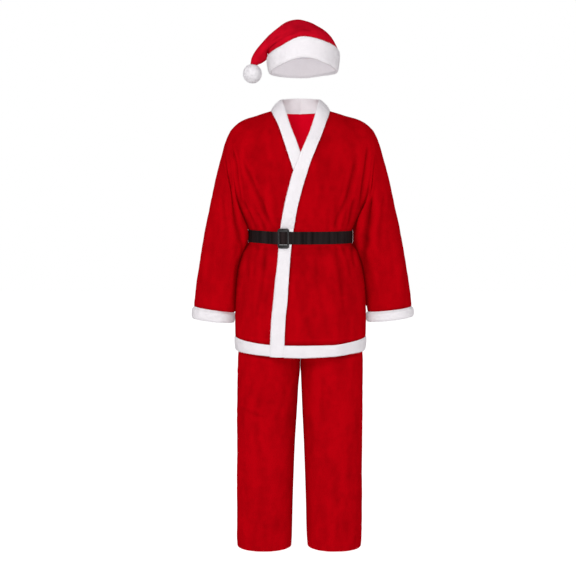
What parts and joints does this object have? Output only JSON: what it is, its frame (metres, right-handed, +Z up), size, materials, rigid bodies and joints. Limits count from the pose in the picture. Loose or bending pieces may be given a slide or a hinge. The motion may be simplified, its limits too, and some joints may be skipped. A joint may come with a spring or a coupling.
{
  "type": "santa suit",
  "caption": "Wrap jacket in red velour with white plush bands, webbing belt with buckle, straight trousers and a floppy hat with pompom, filled out as worn.",
  "frame": {"origin": "middle of the neck, level with the shoulder seams, where the jacket hangs on the wearer's shoulders", "axes": "+Z up, -Y the way the wearer faces, +X the wearer's left"},
  "size_m": [0.6887, 0.2637, 1.6304],
  "materials": {
    "red_velour": "short velour pile, matte",
    "white_plush": "smooth short plush, matte",
    "black_webbing": "woven webbing, low sheen",
    "dark_buckle": "moulded, satin",
    "white_thread": "twisted thread"
  },
  "bodies": {
    "root": {"jacket_back_left": "red_velour", "jacket_back_right": "red_velour", "front_left": "red_velour", "front_right": "red_velour", "sleeve_left_front": "red_velour", "sleeve_left_back": "red_velour", "sleeve_right_front": "red_velour", "sleeve_right_back": "red_velour", "cuff_left": "white_plush", "cuff_right": "white_plush", "collar_band": "white_plush", "front_band_left": "white_plush", "front_band_right": "white_plush", "hem_trim_back": "white_plush", "hem_trim_left": "white_plush", "hem_trim_right": "white_plush", "belt_strap": "black_webbing", "belt_buckle": "dark_buckle", "belt_loop_left": "white_thread", "belt_loop_right": "white_thread", "leg_left": "red_velour", "leg_right": "red_velour", "waistband": "red_velour", "hat_crown": "red_velour", "hat_band": "white_plush", "pompom": "white_plush"}
  },
  "joints": []
}
